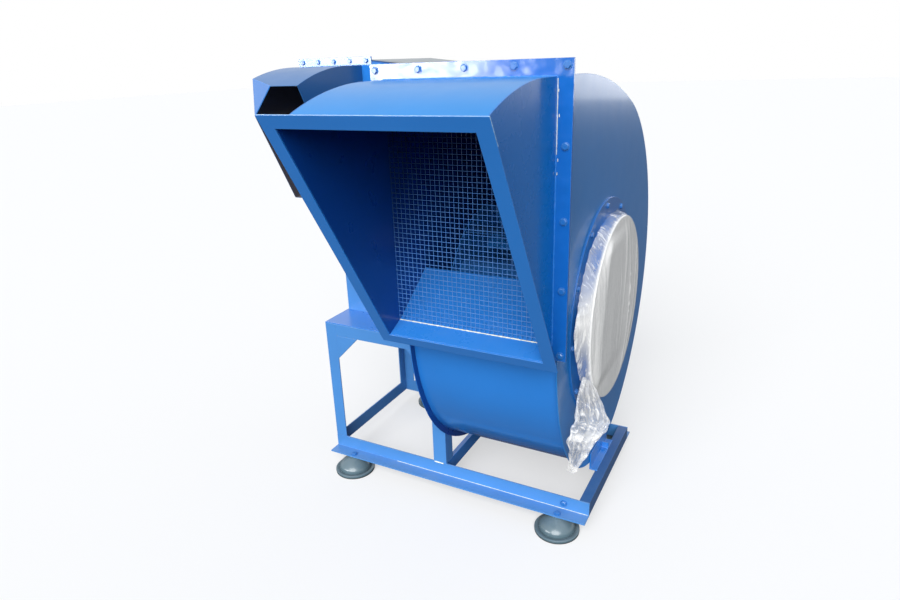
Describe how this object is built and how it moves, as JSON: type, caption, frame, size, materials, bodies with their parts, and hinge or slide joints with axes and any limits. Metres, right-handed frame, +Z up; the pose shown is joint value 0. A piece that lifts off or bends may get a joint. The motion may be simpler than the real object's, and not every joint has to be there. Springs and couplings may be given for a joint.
{
  "type": "dust extraction fan",
  "caption": "Belt-driven centrifugal dust extraction fan: scroll casing, hooded outlet with guard mesh, round inlet, pedestal frame on machine feet.",
  "frame": {"origin": "centre of the front left machine foot's sole, on the floor", "axes": "+X along the fan shaft from the drive side to the inlet side, +Y from the outlet hood to the back of the scroll, +Z up"},
  "size_m": [1.1745, 1.7368, 1.62],
  "materials": {
    "enamel": "glossy blue enamel over welded sheet and angle iron",
    "enamel_deep": "glossy blue enamel on the inlet side and inner parts",
    "foot_paint": "grey green painted dome",
    "rubber": "matt black rubber",
    "bright_steel": "turned bright steel",
    "cast": "grey painted casting",
    "galvanised": "galvanised sheet",
    "film": "thin milky polythene film"
  },
  "bodies": {
    "chassis": {"foot_pads": "rubber", "foot_domes": "foot_paint", "frame_bolts": "enamel_deep", "front_rail": "enamel", "rear_rail": "enamel", "left_rail": "enamel", "right_rail": "enamel", "mid_rail": "enamel", "left_posts": "enamel", "mid_posts": "enamel", "front_beam": "enamel", "rear_beam": "enamel", "side_beams": "enamel", "pedestal_gussets": "enamel", "pedestal_deck": "enamel", "scroll_left_plate": "enamel", "scroll_right_plate": "enamel_deep", "scroll_wrap": "enamel", "outlet_floor": "enamel", "outlet_flange": "enamel", "scroll_support": "enamel", "hood_flange": "enamel", "flange_bolts": "enamel_deep", "hood_side_walls": "enamel", "hood_top_sheet": "enamel", "hood_floor": "enamel", "mouth_frame": "enamel", "guard_mesh": "enamel", "inlet_ring": "enamel_deep", "inlet_cone": "enamel_deep", "inlet_spigot": "enamel_deep", "ring_bolts": "enamel_deep", "shaft_seal": "bright_steel", "bearing_stands": "enamel", "bearing_housings": "cast", "bearing_inserts": "bright_steel", "bearing_bolts": "bright_steel", "cabinet_front": "enamel", "cabinet_sides": "enamel", "cabinet_back": "enamel", "cabinet_roof": "galvanised", "cowl_neck": "enamel", "cowl_flanges": "enamel", "cowl_shell": "enamel", "cowl_corner_plate": "enamel", "motor_shelf": "enamel", "motor_body": "cast", "motor_feet": "cast", "motor_terminal_box": "cast", "drive_belts": "rubber"},
    "rotor": {"impeller_backplate": "enamel_deep", "impeller_blades": "enamel_deep", "impeller_shroud": "enamel_deep", "impeller_hub": "cast", "fan_shaft": "bright_steel", "fan_pulley": "cast"},
    "motor_rotor": {"motor_shaft": "bright_steel", "motor_pulley": "cast"},
    "film": {"inlet_film": "film", "film_tail": "film"}
  },
  "joints": [
    {"name": "rotor_spin", "type": "hinge", "parent": "chassis", "child": "rotor", "pos_m": [0.419, 0.311, 0.764], "axis": [1, 0, 0], "continuous": true},
    {"name": "motor_spin", "type": "hinge", "parent": "chassis", "child": "motor_rotor", "pos_m": [0, 0.381, 1.066], "axis": [1, 0, 0], "continuous": true},
    {"name": "inlet_film_pull", "type": "slide", "parent": "chassis", "child": "film", "axis": [1, 0, 0], "range_m": [0, 0.4]}
  ],
  "couplings": [
    {"joint": "motor_spin", "follows": "rotor_spin", "ratio": 1.5714}
  ]
}
